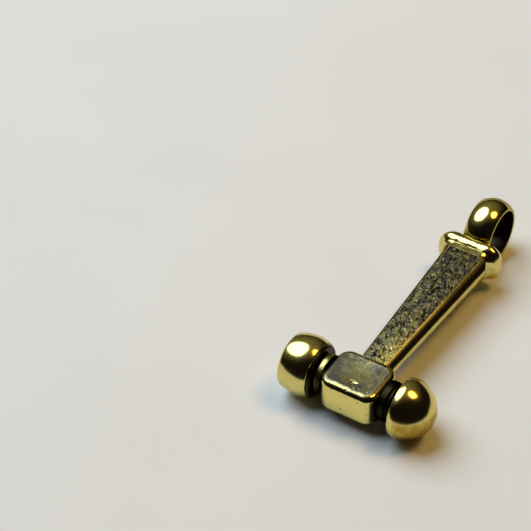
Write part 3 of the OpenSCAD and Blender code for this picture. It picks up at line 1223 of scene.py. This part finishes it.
class CHARM_OT_end_collar(bpy.types.Operator):
    """Loft the collar: a hollow flare from the handle and a rolled rim"""

    bl_idname = "charm.end_collar"
    bl_label = "Collar"

    def execute(self, context):
        handle = context.scene.charm_handle
        from_w, from_t = half_of("handle", 0), half_of("handle", 2)
        to_w = COLLAR_HALF_W - handle.collar_crown
        to_t = COLLAR_HALF_T - handle.collar_crown
        flare_len = COLLAR_END_Y - COLLAR_Y - handle.collar_roll
        flare_rows, rim_rows, end_rows = 28, 32, 12
        sections = []

        def section(y, half_w, half_t, corner):
            sections.append((y, round_rect(half_w, half_t, corner, 26, 40)))

        for k in range(flare_rows):
            s = k / flare_rows
            grow = 0.35 * s + 0.65 * s * s
            section(
                COLLAR_Y + flare_len * s,
                from_w + (to_w - from_w) * grow,
                from_t + (to_t - from_t) * grow,
                handle.edge_r_end + (handle.collar_corner_r - handle.edge_r_end) * s,
            )
        for k in range(rim_rows + 1):
            # The rim swells like a flat arch towards the handle and like a round one behind
            s = -math.cos(math.pi * k / rim_rows)
            bulge = (1 - s * s) ** (1.0 if s < 0 else 0.5) * handle.collar_crown
            y = COLLAR_END_Y - handle.collar_roll * (1 - s) / 2
            section(y, to_w + bulge, to_t + bulge, handle.collar_corner_r)
        end_y, outline = sections[-1]
        for k in range(1, end_rows):
            scale = 1 - 0.08 * k
            sections.append((end_y, [(u * scale, v * scale) for u, v in outline]))

        def to_place(u, v, y):
            return Vector((HEAD_X + u, y, HEAD_Z + v))

        mesh = loft("end_collar", sections, to_place)
        # The flare's foot is painted in shade where it meets the handle, and the crest of the rim
        # is rubbed bright
        per_row = len(outline)
        row_of = [min(i // per_row, len(sections) - 1) for i in range(len(mesh.vertices))]
        crest = range(flare_rows + 7, flare_rows + rim_rows - 6)
        keep_values(mesh, "recess", [max(0.0, 0.5 - row / 10) for row in row_of])
        keep_values(mesh, "rub", [1.0 if row in crest else 0.0 for row in row_of])
        collar = run_tree(
            new_piece("end_collar_rolled", mesh),
            "Cast Surface",
            "Polished Brass",
            Unevenness=0.14 * MM,
            Unevenness_Size=1.1 * MM,
            Pit_Depth=0.02 * MM,
            Pit_Size=0.5 * MM,
            Pit_Share=0.1,
            Seed=13.0,
        )
        finished(collar, "end_collar")
        return {"FINISHED"}


class CHARM_OT_bail_ring(bpy.types.Operator):
    """Turn the wide hanging ring: straight bore, domed band and thin edges"""

    bl_idname = "charm.bail_ring"
    bl_label = "Hanging Ring"

    def execute(self, context):
        handle = context.scene.charm_handle
        rise = RING_R - BORE_R - handle.ring_edge
        dome_r = (RING_HALF_W**2 + rise**2) / (2 * rise)
        lean = math.degrees(math.asin(RING_HALF_W / dome_r))
        band = arc((0.0, RING_R - dome_r), dome_r, 90 + lean, 90 - lean, 30)
        half = RING_HALF_W
        ease = 0.09 * MM
        corners = [(-half, BORE_R + 0.1 * MM, 0.0), (-half, BORE_R + handle.ring_edge, ease)]
        corners += [(x, r, 0.0) for x, r in band[1:-1]]
        corners += [(half, BORE_R + handle.ring_edge, ease), (half, BORE_R, ease)]
        corners += [(-half, BORE_R, ease), (-half, BORE_R + 0.1 * MM, 0.0)]
        outline = [(HEAD_X + x, r) for x, r in filled_in(filleted(corners))]

        ring = turned_piece(
            "bail_ring_turned",
            outline,
            "Ring Brass",
            (0.0, RING_Y, RING_Z),
            seed=17.0,
            unevenness=0.03 * MM,
            # Painted shade: the bore is black.
            recess=lambda x, r: 0.99 if r < BORE_R + 0.03 * MM else 0.0,
            closed=True,
        )
        # Painted shade: the ring is black where it stands on the collar
        foot = -COLLAR_END_Y - 0.2 * MM
        raise_values(
            ring, "recess", lambda at, normal: 0.9 * soft_step(-at.y, foot - 1.1 * MM, foot)
        )
        finished(ring, "bail_ring")
        return {"FINISHED"}


class CHARM_OT_head_pin(bpy.types.Operator):
    """Give the hidden rod through the head its drawn finish"""

    bl_idname = "charm.head_pin"
    bl_label = "Head Pin"

    def execute(self, context):
        pin = frame["nodes"]["head_pin"]
        rod = bpy.data.materials["Bare Rod Brass"]
        for material_slot in pin.material_slots:
            material_slot.material = rod
        return {"FINISHED"}


def direction(azimuth, elevation):
    """Unit vector at an azimuth from +X and an elevation above the floor."""
    flat = math.cos(elevation)
    return Vector((flat * math.cos(azimuth), flat * math.sin(azimuth), math.sin(elevation)))


class CHARM_OT_stage(bpy.types.Operator):
    """Set the pale floor, the two lights, the dim room and the camera"""

    bl_idname = "charm.stage"
    bl_label = "Floor, Lights and Camera"

    def execute(self, context):
        self.lay_floor(context)
        stage = context.scene.charm_stage
        self.hang_light(context, "Window", stage.window_azimuth, stage.window_elevation,
                        stage.window_spread, stage.window_power, stage.window_tone)
        self.hang_light(context, "Lamp", stage.lamp_azimuth, stage.lamp_elevation,
                        stage.lamp_spread, stage.lamp_power, stage.lamp_tone)
        self.dim_room(context)
        self.set_camera(context)
        context.scene.view_settings.view_transform = "Standard"
        return {"FINISHED"}

    def lay_floor(self, context):
        """A pale floor whose front edge lies square to the camera, just out of its sight."""
        stage = context.scene.charm_stage
        turn = stage.camera_azimuth
        right = Vector((math.cos(turn), math.sin(turn), 0.0))
        ahead = Vector((-math.sin(turn), math.cos(turn), 0.0))
        far = stage.floor_size
        reach = [(-far, -stage.floor_front), (far, -stage.floor_front), (far, far), (-far, far)]
        mesh = bpy.data.meshes.new("floor")
        corners = [Vector(stage.camera_aim) + right * u + ahead * v for u, v in reach]
        mesh.from_pydata(corners, [], [(0, 1, 2, 3)])
        new_piece("floor", mesh, floor_paper())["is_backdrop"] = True

    def hang_light(self, context, name, azimuth, elevation, spread, radiance, tone):
        """A round soft light that fills a given half angle, seen from the charm."""
        away = context.scene.charm_stage.light_distance
        radius = away * math.tan(spread)
        light = bpy.data.lights.new(name, "AREA")
        light.shape = "DISK"
        light.size = 2 * radius
        light.energy = radiance * math.pi * math.pi * radius**2
        light.color = tone
        lamp = bpy.data.objects.new(name, light)
        where = direction(azimuth, elevation)
        lamp.location = where * away
        lamp.rotation_mode = "QUATERNION"
        lamp.rotation_quaternion = where.to_track_quat("Z", "Y")
        context.scene.collection.objects.link(lamp)

    def dim_room(self, context):
        """Dim surroundings, with a warm glow between the far wall and the big light."""
        stage = context.scene.charm_stage
        world = bpy.data.worlds.new("Dim Room")
        tree = emptied(world)
        towards = add(tree, "ShaderNodeTexCoord").outputs["Generated"]
        behind = -direction(stage.camera_azimuth - math.pi / 2, 0.0) + Vector((0, 0, 1))
        window = direction(stage.window_azimuth, stage.window_elevation)
        far = behind.normalized() + window
        settings = {"operation": "DOT_PRODUCT"}
        facing = add(tree, "ShaderNodeVectorMath", towards, far.normalized(), settings=settings)
        tone = blend(
            tree,
            ramp(tree, facing.outputs["Value"], 0.4, 1.0),
            (*stage.room_dark, 1.0),
            (*stage.room_light, 1.0),
        )
        glow = add(tree, "ShaderNodeBackground", tone, 1.0)
        add(tree, "ShaderNodeOutputWorld", glow.outputs[0])
        context.scene.world = world

    def set_camera(self, context):
        """A camera that looks at the point aimed at, with a slight turn about its own line."""
        stage = context.scene.charm_stage
        back = direction(stage.camera_azimuth - math.pi / 2, stage.camera_elevation)
        data = bpy.data.cameras.new("Camera")
        data.lens = stage.camera_lens
        data.clip_start = 1 * MM
        data.clip_end = 10.0
        camera = bpy.data.objects.new("Camera", data)
        camera.location = Vector(stage.camera_aim) + back * stage.camera_distance
        upright = (-back).to_track_quat("-Z", "Y").to_matrix().to_4x4()
        rolled = upright @ Matrix.Rotation(stage.camera_roll, 4, "Z")
        camera.rotation_mode = "QUATERNION"
        camera.rotation_quaternion = rolled.to_quaternion()
        context.scene.collection.objects.link(camera)
        context.scene.camera = camera


class CHARM_PT_panel(bpy.types.Panel):
    """Lists the pieces of the charm"""

    bl_idname = "CHARM_PT_panel"
    bl_label = "Hammer Charm"
    bl_space_type = "VIEW_3D"
    bl_region_type = "UI"
    bl_category = "Charm"

    def draw(self, context):
        for operator in OPERATORS:
            self.layout.operator(operator.bl_idname)
        for name, settings in SETTINGS.items():
            box = self.layout.box()
            for label in settings.__annotations__:
                box.prop(getattr(context.scene, name), label)


SETTINGS = {
    "charm_head": HeadSettings,
    "charm_handle": HandleSettings,
    "charm_finish": FinishSettings,
    "charm_stage": StageSettings,
}
OPERATORS = (
    CHARM_OT_workshop,
    CHARM_OT_face_drum,
    CHARM_OT_necks,
    CHARM_OT_cheek_block,
    CHARM_OT_ball_peen,
    CHARM_OT_head_pin,
    CHARM_OT_handle,
    CHARM_OT_end_collar,
    CHARM_OT_bail_ring,
    CHARM_OT_stage,
)


def register():
    for settings in SETTINGS.values():
        bpy.utils.register_class(settings)
    for name, settings in SETTINGS.items():
        setattr(bpy.types.Scene, name, PointerProperty(type=settings))
    for operator in OPERATORS:
        bpy.utils.register_class(operator)
    bpy.utils.register_class(CHARM_PT_panel)


def unregister():
    bpy.utils.unregister_class(CHARM_PT_panel)
    for operator in reversed(OPERATORS):
        bpy.utils.unregister_class(operator)
    for name in SETTINGS:
        delattr(bpy.types.Scene, name)
    for settings in reversed(SETTINGS.values()):
        bpy.utils.unregister_class(settings)


def main():
    """Makes every piece in order and works out the sizes of the solid and the finished charm."""
    register()
    for operator in OPERATORS:
        group, name = operator.bl_idname.split(".")
        getattr(getattr(bpy.ops, group), name)()
    boxes = {"cad": CAD_BOX, "visual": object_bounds()}
    {name: [list(corner) for corner in box] for name, box in boxes.items()}


if __name__ == "__main__":
    main()
